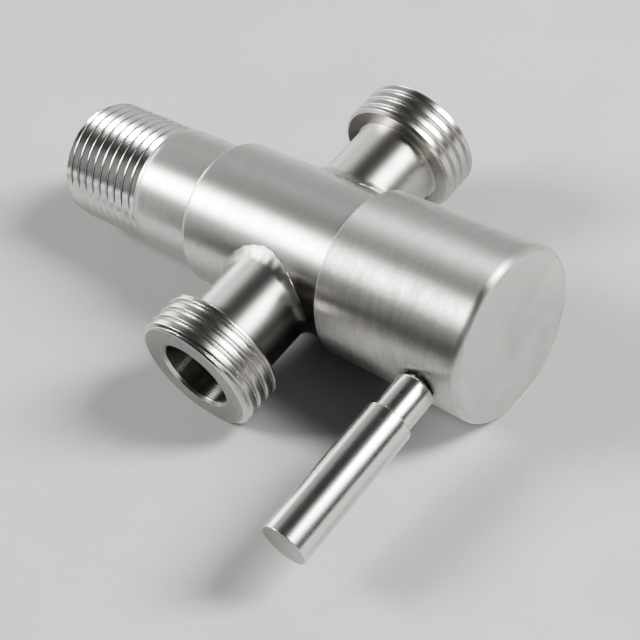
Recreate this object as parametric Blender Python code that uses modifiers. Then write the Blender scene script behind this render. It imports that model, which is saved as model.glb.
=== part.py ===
"""Three way angle valve: one threaded inlet, two threaded outlets, quarter-turn lever cap.

The main axis is world X: the inlet's end face is at x = 0 and the cap's face looks along +X.
The outlets stand out along -Y and +Y. Lengths below are in millimetres.
"""
import math

import bmesh
import bpy

MM = 0.001

# male pipe thread, G 1/2
THREAD_R = 10.4775
THREAD_DEPTH = 1.1
THREAD_PITCH = 1.814
CREST_HALF = 0.28
ROOT_HALF = 0.12

# body
INLET_THREADS = 9
INLET_FIRST_CREST = 1.0
INLET_FACE_R = 9.6
INLET_BORE_R = 7.4
NECK_START_X = 18.4
NECK_R = 10.65
SHOULDER_X = 30.4
BODY_R = 12.2
BODY_STEP_X = 59.7
BODY_NOSE_R = 11.9
BODY_NOSE_X = 62.0
SEAT_X = 35.5
SEAT_HOLE_R = 5.9
CHAMBER_X = 37.0
CHAMBER_R = 9.6

# outlets
OUTLET_X = 48.5
OUTLET_END = 29.15
OUTLET_FACE_R = 9.95
OUTLET_THREADS = 3
OUTLET_FIRST_CREST = 28.65
COLLAR_BACK = 21.9
OUTLET_NECK_R = 7.58
OUTLET_MOUTH_R = 6.0
OUTLET_MOUTH_DEPTH = 20.5
OUTLET_BORE_R = 5.2
OUTLET_ROOT = 5.5
OUTLET_SADDLE_R = 9.8
SIDE_HOLE_R = 7.9

# cap
KNOB_BACK_X = 60.3
KNOB_FRONT_X = 86.8
KNOB_BACK_R = 13.55
KNOB_FRONT_R = 13.9
KNOB_EDGE = 1.0
KNOB_SKIRT_R = 12.4
KNOB_WEB_X = 69.2
KNOB_HUB_R = 6.3
KNOB_HUB_END_X = 84.3
STUD_HOLE_R = 2.5

# lever, lengths measured from the main axis
LEVER_X = 79.8
LEVER_TIP = 44.4
LEVER_GRIP_R = 3.76
LEVER_GRIP_START = 21.5
LEVER_STEP = 20.7
LEVER_SHANK_R = 3.12
LEVER_FOOT = 14.2
LEVER_HOLE_R = 2.5
LEVER_HOLE_END = 24.5
STUD_R = 2.2
STUD_START = 6.45
STUD_END = 24.2

# cartridge
CAGE_START_X = 38.0
CAGE_END_X = 53.0
CAGE_R = 9.2
CAGE_BORE_R = 8.6
WINDOW_START_X = 44.0
WINDOW_END_X = 51.6
WINDOW_WIDTH = 10.0
HEAD_START_X = 53.3
HEAD_SHANK_END_X = 62.3
HEAD_END_X = 66.5
HEAD_SHANK_R = 9.3
HEX_FLATS = 19.0
BEARING_R = 5.4
SPINDLE_R = 5.1
RING_GROOVE_R = 3.4
RING_GROOVE_HALF = 1.0
RING_MINOR_R = 0.7
LOWER_RING_X = 56.2
UPPER_RING_X = 60.6
FLANGE_START_X = 50.0
FLANGE_END_X = 52.0
FLANGE_R = 6.8
CLIP_START_X = 67.1
CLIP_END_X = 67.9
CLIP_GROOVE_R = 4.0
SHOULDER_END_X = 69.2
SPLINE_END_X = 83.4
SPLINE_TEETH = 20
SPLINE_TIP_R = 4.0
SPLINE_ROOT_R = 3.6
SPLINE_GAP = 0.35
INSERT_START_X = 69.8
INSERT_R = 6.0
INSERT_END_X = 83.9
DISC_GAP = 0.3
SEAL_START_X = 37.3
SEAL_END_X = 40.0
FIXED_DISC_START_X = 40.3
FIXED_DISC_END_X = 43.3
MOVING_DISC_END_X = 46.3
DRIVER_END_X = 49.4

SHELL_SEGMENTS = 36
CAP_SEGMENTS = 48
ROD_SEGMENTS = 32
INNER_SEGMENTS = 24
RING_SEGMENTS = 8


def clear_scene():
    """Start from an empty scene."""
    for item in list(bpy.data.objects):
        bpy.data.objects.remove(item, do_unlink=True)


def new_collection(name):
    """A collection linked to the scene."""
    group = bpy.data.collections.new(name)
    bpy.context.scene.collection.children.link(group)
    return group


def principled(name, color, metallic, roughness):
    """A plain Principled material."""
    material = bpy.data.materials.new(name)
    material.use_nodes = True
    shader = material.node_tree.nodes["Principled BSDF"]
    shader.inputs["Base Color"].default_value = (*color, 1.0)
    shader.inputs["Metallic"].default_value = metallic
    shader.inputs["Roughness"].default_value = roughness
    material.diffuse_color = (*color, 1.0)
    return material


class Workshop:
    """Holds the collections and materials that every piece needs."""

    def __init__(self):
        self.parts = new_collection("three_way_valve")
        self.cutters = new_collection("cutters")
        self.cutters.hide_render = True
        self.steel = principled("stainless_steel", (0.62, 0.61, 0.59), 1.0, 0.32)
        self.polished = principled("polished_steel", (0.68, 0.67, 0.66), 1.0, 0.2)
        self.brass = principled("brass", (0.72, 0.54, 0.26), 1.0, 0.35)
        self.rubber = principled("black_rubber", (0.03, 0.03, 0.03), 0.0, 0.7)
        self.ceramic = principled("white_ceramic", (0.85, 0.84, 0.82), 0.0, 0.2)
        self.dark_ceramic = principled("grey_ceramic", (0.3, 0.3, 0.31), 0.0, 0.2)
        self.plastic = principled("white_plastic", (0.8, 0.8, 0.78), 0.0, 0.45)


def add_object(shop, name, mesh, group):
    """Link a mesh as a named object in a collection."""
    item = bpy.data.objects.new(name, mesh)
    group.objects.link(item)
    if group is shop.cutters:
        item.display_type = "WIRE"
        item.hide_render = True
    return item


def give_material(item, material):
    """One material on the whole piece."""
    item.data.materials.clear()
    item.data.materials.append(material)


def turned(shop, name, profile, segments, material=None, closed=False):
    """Turn a profile of (height, radius) pairs about the object's own Z.

    The profile runs down the outer side. A closed one comes back up the inner side.
    """
    mesh = bpy.data.meshes.new(name)
    points = [(radius * MM, 0.0, height * MM) for height, radius in profile]
    links = [(i, i + 1) for i in range(len(points) - 1)]
    if closed:
        links.append((len(points) - 1, 0))
    mesh.from_pydata(points, links, [])
    group = shop.parts if material else shop.cutters
    item = add_object(shop, name, mesh, group)
    screw = item.modifiers.new("Turn", "SCREW")
    screw.axis = "Z"
    screw.angle = 2.0 * math.pi
    screw.steps = segments
    screw.render_steps = segments
    screw.use_merge_vertices = True
    screw.merge_threshold = 0.00001
    screw.use_smooth_shade = False
    if material:
        give_material(item, material)
    return item


def along_x(item, x=0.0):
    """Lay the object's own Z along world +X, with its origin on the main axis."""
    item.rotation_euler = (0.0, math.pi / 2.0, 0.0)
    item.location = (x * MM, 0.0, 0.0)
    return item


def along_y(item, x, side):
    """Lay the object's own Z along world -Y (side -1) or +Y (side 1)."""
    item.rotation_euler = (-side * math.pi / 2.0, 0.0, 0.0)
    item.location = (x * MM, 0.0, 0.0)
    return item


def prism(shop, name, outline, low, high, material=None):
    """Extrude a (y, z) outline along world X from low to high."""
    mesh = bpy.data.meshes.new(name)
    shape = bmesh.new()
    back = [shape.verts.new((low * MM, y * MM, z * MM)) for y, z in outline]
    front = [shape.verts.new((high * MM, y * MM, z * MM)) for y, z in outline]
    shape.faces.new(list(reversed(back)))
    shape.faces.new(front)
    count = len(outline)
    for i in range(count):
        j = (i + 1) % count
        shape.faces.new((back[i], back[j], front[j], front[i]))
    bmesh.ops.recalc_face_normals(shape, faces=shape.faces)
    shape.to_mesh(mesh)
    shape.free()
    group = shop.parts if material else shop.cutters
    item = add_object(shop, name, mesh, group)
    if material:
        give_material(item, material)
    return item


def box(shop, name, low, high):
    """A box cutter between two corners."""
    outline = [(low[1], low[2]), (high[1], low[2]), (high[1], high[2]), (low[1], high[2])]
    return prism(shop, name, outline, low[0], high[0])


def sector(inner, outer, start, end, steps=8):
    """Outline of a ring sector between two angles in degrees, from +Y towards +Z."""
    angles = [math.radians(start + (end - start) * i / steps) for i in range(steps + 1)]
    rim = [(outer * math.cos(a), outer * math.sin(a)) for a in angles]
    hub = [(inner * math.cos(a), inner * math.sin(a)) for a in reversed(angles)]
    return rim + hub


def toothed(tip, root, teeth):
    """Outline of a spline with flat tips and roots."""
    outline = []
    for i in range(teeth):
        for share, radius in ((-0.2, tip), (0.2, tip), (0.32, root), (0.68, root)):
            angle = 2.0 * math.pi * (i + share) / teeth
            outline.append((radius * math.cos(angle), radius * math.sin(angle)))
    return outline


def boolean(item, operation, other):
    """Add or cut with another closed mesh."""
    modifier = item.modifiers.new(operation.title(), "BOOLEAN")
    modifier.operation = operation
    modifier.solver = "EXACT"
    modifier.object = other
    return modifier


def smooth(item, angle=32.0):
    """Smooth round sides with sharp corners."""
    modifier_count = len(item.modifiers)
    if modifier_count == 0:
        item.data.shade_smooth()
        item.data.set_sharp_from_angle(angle=math.radians(angle))


def thread_profile(first_crest, count, falling):
    """Crest and root points of a male thread, from the first crest inwards."""
    points = []
    root_r = THREAD_R - THREAD_DEPTH
    step = -THREAD_PITCH if falling else THREAD_PITCH
    sign = -1.0 if falling else 1.0
    for i in range(count):
        crest = first_crest + i * step
        middle = crest + sign * THREAD_PITCH / 2.0
        points.append((crest + sign * CREST_HALF, THREAD_R))
        points.append((middle - sign * ROOT_HALF, root_r))
        points.append((middle + sign * ROOT_HALF, root_r))
        points.append((crest + sign * (THREAD_PITCH - CREST_HALF), THREAD_R))
    return points


def build_body(shop):
    """Turned body with a threaded inlet and two side holes."""
    thread = thread_profile(INLET_FIRST_CREST, INLET_THREADS, False)
    outer = [(0.0, INLET_FACE_R), (INLET_FIRST_CREST - 0.1, THREAD_R)] + thread
    outer += [
        (NECK_START_X - 0.3, THREAD_R),
        (NECK_START_X, NECK_R),
        (SHOULDER_X, NECK_R),
        (SHOULDER_X + 0.15, BODY_R - 1.0),
        (SHOULDER_X + 0.45, BODY_R - 0.4),
        (SHOULDER_X + 1.0, BODY_R - 0.08),
        (SHOULDER_X + 1.6, BODY_R),
        (BODY_STEP_X, BODY_R),
        (BODY_STEP_X, BODY_NOSE_R),
        (BODY_NOSE_X - 0.4, BODY_NOSE_R),
        (BODY_NOSE_X, BODY_NOSE_R - 0.4),
    ]
    inner = [
        (0.0, INLET_BORE_R + 0.4),
        (0.4, INLET_BORE_R),
        (SEAT_X, INLET_BORE_R),
        (SEAT_X, SEAT_HOLE_R),
        (CHAMBER_X, SEAT_HOLE_R),
        (CHAMBER_X, CHAMBER_R),
        (BODY_NOSE_X, CHAMBER_R),
    ]
    profile = list(reversed(outer)) + inner
    body = along_x(turned(shop, "valve_body", profile, SHELL_SEGMENTS, shop.steel, True))
    hole = [(14.0, 0.0), (14.0, SIDE_HOLE_R), (-14.0, SIDE_HOLE_R), (-14.0, 0.0)]
    cutter = along_y(turned(shop, "cut_side_hole", hole, SHELL_SEGMENTS), OUTLET_X, -1)
    boolean(body, "DIFFERENCE", cutter)
    return body


def build_outlet(shop, name, side):
    """Outlet nipple: neck, threaded collar, stepped bore and an inner end cut to a saddle."""
    thread = thread_profile(OUTLET_FIRST_CREST, OUTLET_THREADS, True)
    profile = [(OUTLET_END, OUTLET_MOUTH_R + 0.3), (OUTLET_END, OUTLET_FACE_R)] + thread
    profile += [
        (COLLAR_BACK + 0.35, THREAD_R),
        (COLLAR_BACK, THREAD_R - 0.5),
        (COLLAR_BACK, OUTLET_NECK_R),
        (OUTLET_ROOT, OUTLET_NECK_R),
        (OUTLET_ROOT, OUTLET_BORE_R),
        (OUTLET_MOUTH_DEPTH, OUTLET_BORE_R),
        (OUTLET_MOUTH_DEPTH, OUTLET_MOUTH_R),
        (OUTLET_END - 0.3, OUTLET_MOUTH_R),
    ]
    item = along_y(turned(shop, name, profile, SHELL_SEGMENTS, shop.steel, True), OUTLET_X, side)
    saddle = [
        (20.0, 0.0),
        (20.0, OUTLET_SADDLE_R),
        (-20.0, OUTLET_SADDLE_R),
        (-20.0, 0.0),
    ]
    cutter = turned(shop, "cut_saddle_" + name, saddle, SHELL_SEGMENTS)
    boolean(item, "DIFFERENCE", along_x(cutter, OUTLET_X))
    return item


def build_knob(shop):
    """Cap with a rounded front edge, a skirt over the body's nose and a blind hub bore."""
    edge_x = KNOB_FRONT_X - KNOB_EDGE
    profile = [(KNOB_FRONT_X, 0.0)]
    for i in range(5):
        angle = math.radians(90.0 - 22.5 * i)
        height = edge_x + KNOB_EDGE * math.sin(angle)
        profile.append((height, KNOB_FRONT_R - KNOB_EDGE + KNOB_EDGE * math.cos(angle)))
    profile += [
        (KNOB_BACK_X + 0.25, KNOB_BACK_R),
        (KNOB_BACK_X, KNOB_BACK_R - 0.25),
        (KNOB_BACK_X, KNOB_SKIRT_R),
        (KNOB_WEB_X, KNOB_SKIRT_R),
        (KNOB_WEB_X, KNOB_HUB_R),
        (KNOB_HUB_END_X, KNOB_HUB_R),
        (KNOB_HUB_END_X, 0.0),
    ]
    knob = along_x(turned(shop, "handle_knob", profile, CAP_SEGMENTS, shop.steel))
    hole = [(16.0, 0.0), (16.0, STUD_HOLE_R), (4.0, STUD_HOLE_R), (4.0, 0.0)]
    cutter = along_y(turned(shop, "cut_stud_hole", hole, INNER_SEGMENTS), LEVER_X, -1)
    boolean(knob, "DIFFERENCE", cutter)
    return knob


def build_lever(shop):
    """Stepped lever and the stud that holds it."""
    profile = [
        (LEVER_TIP, 0.0),
        (LEVER_TIP, LEVER_GRIP_R - 0.15),
        (LEVER_TIP - 0.15, LEVER_GRIP_R),
        (LEVER_GRIP_START, LEVER_GRIP_R),
        (LEVER_STEP, LEVER_SHANK_R),
        (LEVER_FOOT + 0.6, LEVER_SHANK_R),
        (LEVER_FOOT + 0.15, LEVER_SHANK_R - 0.25),
        (LEVER_FOOT, LEVER_HOLE_R + 0.15),
        (LEVER_FOOT, LEVER_HOLE_R),
        (LEVER_HOLE_END, LEVER_HOLE_R),
        (LEVER_HOLE_END, 0.0),
    ]
    rod = turned(shop, "lever_rod", profile, ROD_SEGMENTS, shop.polished)
    along_y(rod, LEVER_X, -1)
    profile = [
        (STUD_END, 0.0),
        (STUD_END, STUD_R - 0.4),
        (STUD_END - 0.4, STUD_R),
        (STUD_START + 0.4, STUD_R),
        (STUD_START, STUD_R - 0.4),
        (STUD_START, 0.0),
    ]
    stud = turned(shop, "lever_stud", profile, INNER_SEGMENTS, shop.steel)
    along_y(stud, LEVER_X, -1)


def groove(x):
    """Profile of a ring groove in the stem, from front to back."""
    front = x + RING_GROOVE_HALF
    back = x - RING_GROOVE_HALF
    return [(front, SPINDLE_R), (front, RING_GROOVE_R), (back, RING_GROOVE_R), (back, SPINDLE_R)]


def build_spindle(shop):
    """Stem with a flange, two ring grooves, a clip groove, a spline, a tongue and a stop lug."""
    profile = [(SHOULDER_END_X, 0.0), (SHOULDER_END_X, SPINDLE_R)]
    profile += [
        (CLIP_END_X + 0.3, SPINDLE_R),
        (CLIP_END_X + 0.3, CLIP_GROOVE_R),
        (CLIP_START_X - 0.3, CLIP_GROOVE_R),
        (CLIP_START_X - 0.3, SPINDLE_R),
    ]
    profile += groove(UPPER_RING_X) + groove(LOWER_RING_X)
    profile += [
        (FLANGE_END_X, SPINDLE_R),
        (FLANGE_END_X, FLANGE_R),
        (FLANGE_START_X, FLANGE_R),
        (FLANGE_START_X, 0.0),
    ]
    stem = along_x(turned(shop, "spindle", profile, INNER_SEGMENTS, shop.brass))
    outline = toothed(SPLINE_TIP_R, SPLINE_ROOT_R, SPLINE_TEETH)
    spline = prism(shop, "join_spline", outline, SHOULDER_END_X - 1.0, SPLINE_END_X)
    tongue = box(shop, "join_tongue", (47.7, -4.5, -1.5), (FLANGE_START_X + 1.0, 4.5, 1.5))
    lug_outline = sector(FLANGE_R - 1.5, 8.2, 180.0 - 20.0, 180.0 + 20.0)
    lug = prism(shop, "join_lug", lug_outline, FLANGE_START_X + 0.1, FLANGE_END_X - 0.1)
    for extra in (spline, tongue, lug):
        boolean(stem, "UNION", extra)


def ring(shop, name, x, major, minor, material):
    """A round-section sealing ring about the main axis."""
    profile = []
    for i in range(RING_SEGMENTS):
        angle = math.pi / 2.0 - 2.0 * math.pi * i / RING_SEGMENTS
        profile.append((x + minor * math.sin(angle), major + minor * math.cos(angle)))
    return along_x(turned(shop, name, profile, INNER_SEGMENTS, material, True))


def washer(shop, name, low, high, inner, outer, material):
    """A flat ring about the main axis."""
    profile = [(high, outer), (low, outer), (low, inner), (high, inner)]
    return along_x(turned(shop, name, profile, INNER_SEGMENTS, material, True))


def disc_with_ports(shop, name, low, high, radius, turn, material):
    """A disc with two facing quarter ports, turned by an angle in degrees."""
    profile = [(high, 0.0), (high, radius), (low, radius), (low, 0.0)]
    disc = along_x(turned(shop, name, profile, INNER_SEGMENTS, material))
    for i in range(2):
        middle = turn + 180.0 * i
        outline = sector(2.2, 6.4, middle - 38.0, middle + 38.0)
        port = prism(shop, "cut_port_%s_%d" % (name, i), outline, low - 1.0, high + 1.0)
        boolean(disc, "DIFFERENCE", port)
    return disc


def build_discs(shop):
    """Seal, fixed disc, moving disc and the driver that turns it."""
    washer(shop, "seat_seal", SEAL_START_X, SEAL_END_X, 6.6, 8.3, shop.rubber)
    washer(shop, "seat_ring", SEAL_START_X + 0.3, SEAL_END_X - 0.3, 5.6, 6.3, shop.plastic)
    disc_with_ports(
        shop, "fixed_disc", FIXED_DISC_START_X, FIXED_DISC_END_X, 8.3, 0.0, shop.ceramic
    )
    moving_start = FIXED_DISC_END_X + DISC_GAP
    disc_with_ports(
        shop, "moving_disc", moving_start, MOVING_DISC_END_X, 7.9, 90.0, shop.dark_ceramic
    )
    driver_start = MOVING_DISC_END_X + DISC_GAP
    profile = [(DRIVER_END_X, 0.0), (DRIVER_END_X, 7.8), (driver_start, 7.8), (driver_start, 0.0)]
    driver = along_x(turned(shop, "disc_driver", profile, INNER_SEGMENTS, shop.plastic))
    slot = box(shop, "cut_driver_slot", (47.4, -4.8, -1.8), (DRIVER_END_X + 1.0, 4.8, 1.8))
    boolean(driver, "DIFFERENCE", slot)
    for i in range(2):
        middle = 90.0 + 180.0 * i
        outline = sector(3.2, 9.0, middle - 38.0, middle + 38.0)
        port = prism(shop, "cut_driver_%d" % i, outline, driver_start - 1.0, DRIVER_END_X + 1.0)
        boolean(driver, "DIFFERENCE", port)


def build_cage(shop):
    """Sleeve round the discs with a window towards each outlet."""
    profile = [
        (CAGE_END_X, CAGE_R),
        (CAGE_START_X, CAGE_R),
        (CAGE_START_X, CAGE_BORE_R),
        (CAGE_END_X, CAGE_BORE_R),
    ]
    cage = along_x(turned(shop, "disc_cage", profile, INNER_SEGMENTS * 2, shop.brass, True))
    half = WINDOW_WIDTH / 2.0
    window = box(shop, "cut_windows", (WINDOW_START_X, -12.0, -half), (WINDOW_END_X, 12.0, half))
    boolean(cage, "DIFFERENCE", window)


def hexagon(flats):
    """Corner points of a hexagon."""
    radius = flats / math.sqrt(3.0)
    corners = [math.radians(60.0 * i) for i in range(6)]
    return [(radius * math.cos(a), radius * math.sin(a)) for a in corners]


def build_headpiece(shop):
    """Gland that clamps the cartridge, with a hexagon, a ring groove and a stop rib."""
    ring_x = 58.4
    profile = [
        (HEAD_SHANK_END_X + 0.5, HEAD_SHANK_R),
        (ring_x + RING_GROOVE_HALF, HEAD_SHANK_R),
        (ring_x + RING_GROOVE_HALF, 7.6),
        (ring_x - RING_GROOVE_HALF, 7.6),
        (ring_x - RING_GROOVE_HALF, HEAD_SHANK_R),
        (HEAD_START_X, HEAD_SHANK_R),
        (HEAD_START_X, BEARING_R),
        (HEAD_SHANK_END_X + 0.5, BEARING_R),
    ]
    head = along_x(turned(shop, "headpiece", profile, INNER_SEGMENTS * 2, shop.brass, True))
    nut = prism(shop, "join_hexagon", hexagon(HEX_FLATS), HEAD_SHANK_END_X, HEAD_END_X)
    stop = prism(
        shop, "join_stop", sector(7.2, 8.3, -157.5, 67.5, 20), 50.4, 53.8
    )
    boolean(head, "UNION", nut)
    boolean(head, "UNION", stop)
    bore = [(HEAD_END_X + 1.0, 0.0), (HEAD_END_X + 1.0, BEARING_R)]
    bore += [(HEAD_SHANK_END_X - 1.0, BEARING_R), (HEAD_SHANK_END_X - 1.0, 0.0)]
    cutter = along_x(turned(shop, "cut_head_bore", bore, INNER_SEGMENTS * 2))
    boolean(head, "DIFFERENCE", cutter)
    ring(shop, "headpiece_oring", ring_x, 8.6, RING_MINOR_R, shop.rubber)


def build_clip(shop):
    """Open spring clip in the stem's groove."""
    outline = sector(4.3, 6.3, 30.0, 330.0, 20)
    prism(shop, "retaining_clip", outline, CLIP_START_X, CLIP_END_X, shop.steel)


def build_insert(shop):
    """Splined bush between the stem and the cap."""
    profile = [
        (INSERT_END_X, 0.0),
        (INSERT_END_X, INSERT_R),
        (INSERT_START_X, INSERT_R),
        (INSERT_START_X, 0.0),
    ]
    bush = along_x(turned(shop, "spline_insert", profile, INNER_SEGMENTS, shop.plastic))
    outline = toothed(SPLINE_TIP_R + SPLINE_GAP, SPLINE_ROOT_R + SPLINE_GAP, SPLINE_TEETH)
    bore = prism(shop, "cut_insert_bore", outline, INSERT_START_X - 1.0, INSERT_END_X + 1.0)
    boolean(bush, "DIFFERENCE", bore)


def build_all():
    """Every piece of the valve."""
    clear_scene()
    shop = Workshop()
    build_body(shop)
    build_outlet(shop, "outlet_left", -1)
    build_outlet(shop, "outlet_right", 1)
    build_knob(shop)
    build_lever(shop)
    build_spindle(shop)
    ring(shop, "spindle_oring_lower", LOWER_RING_X, 4.4, RING_MINOR_R, shop.rubber)
    ring(shop, "spindle_oring_upper", UPPER_RING_X, 4.4, RING_MINOR_R, shop.rubber)
    washer(shop, "slip_washer", FLANGE_END_X + 0.3, HEAD_START_X - 0.3, 5.4, 6.9, shop.plastic)
    build_discs(shop)
    build_cage(shop)
    build_headpiece(shop)
    build_clip(shop)
    build_insert(shop)


build_all()
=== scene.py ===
"""Looks for the three way valve: detailed pieces, steel finishes, floor, light and camera.

The main axis is world X: the inlet's end face is at x = 0 and the cap's face looks along +X.
Shapes are worked out in millimetres and become metres when their meshes are made. Finishes,
lights, the floor's width, the card and the camera are in metres.
"""

import math

import bmesh
import bpy
import numpy as np
from mathutils import Matrix, Vector


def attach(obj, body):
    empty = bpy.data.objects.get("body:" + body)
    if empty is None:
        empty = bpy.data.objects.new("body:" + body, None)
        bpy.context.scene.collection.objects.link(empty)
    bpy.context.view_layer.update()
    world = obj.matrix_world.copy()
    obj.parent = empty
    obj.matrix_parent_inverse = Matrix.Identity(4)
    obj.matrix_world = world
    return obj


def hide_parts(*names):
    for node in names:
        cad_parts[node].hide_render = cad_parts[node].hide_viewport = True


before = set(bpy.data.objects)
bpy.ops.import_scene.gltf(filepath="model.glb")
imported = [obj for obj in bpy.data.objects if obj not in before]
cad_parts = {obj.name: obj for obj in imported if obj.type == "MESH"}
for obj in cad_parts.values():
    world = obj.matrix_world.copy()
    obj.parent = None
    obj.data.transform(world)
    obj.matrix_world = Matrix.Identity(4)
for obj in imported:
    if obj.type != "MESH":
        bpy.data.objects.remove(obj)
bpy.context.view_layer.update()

MM = 0.001
FULL_TURN = 2.0 * math.pi

# male pipe thread, G 1/2, and the place of one crest of each thread at angle 0
THREAD_R = 10.4775
THREAD_PITCH = 1.814
INLET_FIRST = -0.54
OUTLET_FIRST = 23.84
# shares of the pitch: half a flat land, the rounding beside it and the rounding at the groove's
# root; the last number is the groove's depth in millimetres
INLET_GROOVE = (0.0, 0.10, 0.04, 0.80)
OUTLET_GROOVE = (0.26, 0.05, 0.06, 0.50)

# body, lengths along the main axis
INLET_FACE_R = 9.6
INLET_CHAMFER_END = 0.9
INLET_BORE_R = 7.4
INLET_BORE_CHAMFER = 0.4
INLET_FACE_EDGE = [(0.0, INLET_FACE_R - 0.08), (0.05, INLET_FACE_R + 0.02)]
THREAD_START_X = 0.12
THREAD_END_X = 17.9
THREAD_FADE = 0.6
NECK_START_X = 18.4
NECK_R = 10.65
# profile from the thread's crests up to the neck
NECK_RISE = [
    (THREAD_END_X + 0.15, THREAD_R),
    (THREAD_END_X + 0.45, THREAD_R + 0.02),
    (NECK_START_X + 0.45, NECK_R - 0.03),
    (NECK_START_X + 0.9, NECK_R),
]
SHOULDER_X = 30.4
# roundings at the shoulder's foot and top, and how far past the shoulder the top one ends
SHOULDER_FOOT = 0.35
SHOULDER_ROUND = 1.15
SHOULDER_RUN = 1.25
BODY_R = 12.2
BODY_STEP_X = 59.7
BODY_STEP_CHAMFER = (0.2, 0.15)
BODY_NOSE_R = 11.9
BODY_NOSE_X = 62.0
BODY_NOSE_CHAMFER = 0.4
SEAT_X = 35.5
SEAT_HOLE_R = 5.9
CHAMBER_X = 37.0
CHAMBER_R = 9.6

# outlets, lengths from the main axis
OUTLET_X = 48.5
OUTLET_END = 29.15
OUTLET_FACE_R = 9.75
OUTLET_CHAMFER_SLOPE = 1.3
MOUTH_R = 6.0
MOUTH_CHAMFER = 0.5
# profile of the end face, from the mouth's chamfer to the outer edge
OUTLET_FACE = [
    (OUTLET_END - MOUTH_CHAMFER, MOUTH_R),
    (OUTLET_END - 0.05, MOUTH_R + MOUTH_CHAMFER - 0.1),
    (OUTLET_END, MOUTH_R + MOUTH_CHAMFER),
    (OUTLET_END, OUTLET_FACE_R - 0.12),
    (OUTLET_END - 0.04, OUTLET_FACE_R - 0.02),
]
MOUTH_DEPTH = 20.5
# turning marks in the mouth: where they start and end, the sampling, their height and pitch
MARKS = (MOUTH_DEPTH + 0.1, OUTLET_END - MOUTH_CHAMFER - 0.1)
MARK_STEP = 0.1
MARK_HEIGHT = 0.017
MARK_PITCH = 0.42
# the narrower bore behind the mouth, from the saddle to the corner that leads into the mouth
OUTLET_BORE_R = 5.2
BORE_START = 10.4
BORE_CORNER = (0.3, 0.2)
# the holes in the body's sides
PORT_CUT_R = OUTLET_BORE_R + 1.0
PORT_CUT_REACH = 20.0
OUTLET_NECK_R = 7.58
COLLAR_BACK = 21.9
COLLAR_FILLET = 0.35
# the chamfer at the collar's back: where it starts, the radius there and its slope
COLLAR_CHAMFER = (COLLAR_BACK + 0.05, THREAD_R - 0.45, 1.2)
COLLAR_WALL = [(COLLAR_BACK, THREAD_R - 0.55), (COLLAR_BACK, OUTLET_NECK_R + 0.45)]
# the thread is a helix in the middle, square rows out to these places, and fades out at its back
OUTLET_ROWS = (OUTLET_END - 0.1, COLLAR_BACK + 0.05)
OUTLET_HELIX = (OUTLET_END - 0.6, COLLAR_BACK + 0.8)
OUTLET_FADE = (COLLAR_BACK + 0.75, COLLAR_BACK + 0.25)
# the neck, the fillet at its foot, and the lip by which the fillet stands proud of the body
NECK_ROWS = 9
FILLET = 1.15
FILLET_ROWS = 13
FILLET_LIP = 0.12
# waves round the foot, their start and height: the weld's uneven rim
FILLET_WAVES = ((5, 0.6, 0.03), (12, 2.1, 0.03), (28, 0.9, 0.045))
# rows hidden in the body's wall: how far past the fillet's rim and how far below the surface
FOOT_HIDDEN = ((0.02, 0.3), (-0.5, 0.8))
# the inner end, cut to the chamber's round
SADDLE_R = 9.8
SADDLE_RINGS = (OUTLET_NECK_R - 0.6, OUTLET_BORE_R)

# cap
KNOB_BACK_X = 60.3
KNOB_FRONT_X = 86.8
KNOB_BACK_R = 13.55
KNOB_FRONT_R = 13.9
# roundings of the front and back edge, and the rows of the face and the side beside them
KNOB_EDGE = 1.0
KNOB_FACE_INSET = 0.3
KNOB_BACK_EDGE = 0.3
KNOB_SIDE_START = 0.45
KNOB_SKIRT_R = 12.4
KNOB_SKIRT_CHAMFER = 0.15
KNOB_WEB_X = 69.2
KNOB_HUB_R = 6.3
KNOB_HUB_END_X = 84.3
# the smallest rings, in front and inside, round the poles that close the mesh
KNOB_POLE_RINGS = (0.6, 0.5)
# the stud's hole goes through the side between these places from the main axis
STUD_CUT = (8.0, 16.0)

# lever, lengths from the main axis
LEVER_X = 79.8
LEVER_TIP = 44.4
# the rounding of the tip's edge, and the last row of the end face beside it
LEVER_TIP_EDGE = 0.13
LEVER_TIP_INSET = 0.16
GRIP_R = 3.76
LEVER_STEP = 20.7
# the rounding of the step's edge, and how far past the step its centre lies
LEVER_STEP_EDGE = 0.28
LEVER_STEP_AT = 0.34
SHANK_R = 3.12
LEVER_STEP_FOOT = [(LEVER_STEP + 0.05, SHANK_R + 0.06), (LEVER_STEP - 0.05, SHANK_R)]
LEVER_FOOT = 14.2
LEVER_FOOT_EDGE = 0.6
LEVER_FOOT_ROW = 0.95
STUD_HOLE_R = 2.5
LEVER_HOLE_END = 24.5
LEVER_POLE_RING = 0.3

# places, in metres, and directions that tell a piece's differently finished faces apart
THREAD_FACES_X = (THREAD_END_X - 0.2) * MM
BORE_FACES_R = (INLET_BORE_R + 0.6) * MM
COLLAR_FACES_Y = (COLLAR_BACK - 0.1) * MM
OUTLET_AXIS_X = OUTLET_X * MM
MOUTH_FACES_R = (MOUTH_R + 0.05) * MM
OUTLET_FACE_Y = (OUTLET_END - 0.02) * MM
KNOB_FACE_X = (KNOB_FRONT_X - 0.05) * MM
LEVER_TIP_Y = (LEVER_TIP - 0.02) * MM
END_NORMAL = 0.95
KNOB_FACE_NORMAL = 0.998
# places of the finishes in a piece's list, after the one that covers most of it
THREADED = FLAT = 1
COLLAR, BORE, END = 1, 2, 3

# points round a ring
ROUND = 256
SMALL_ROUND = 192
CUT_ROUND = 96
# a thread's rows: the step of the square ones, how near its ends the helix is trimmed to them,
# how far it stays from the chamfer and the fade, the points on a flank, and turns to spare
THREAD_STEP = 0.03
TRIM = 0.02
HELIX_MARGIN = 0.1
FLANK_POINTS = 5
SPARE_TURNS = 3
# extra rows this close to a profile's bends, and the shortest stretch that gets them
GUARD = 0.03
GUARDED = 8.0 * GUARD
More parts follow.
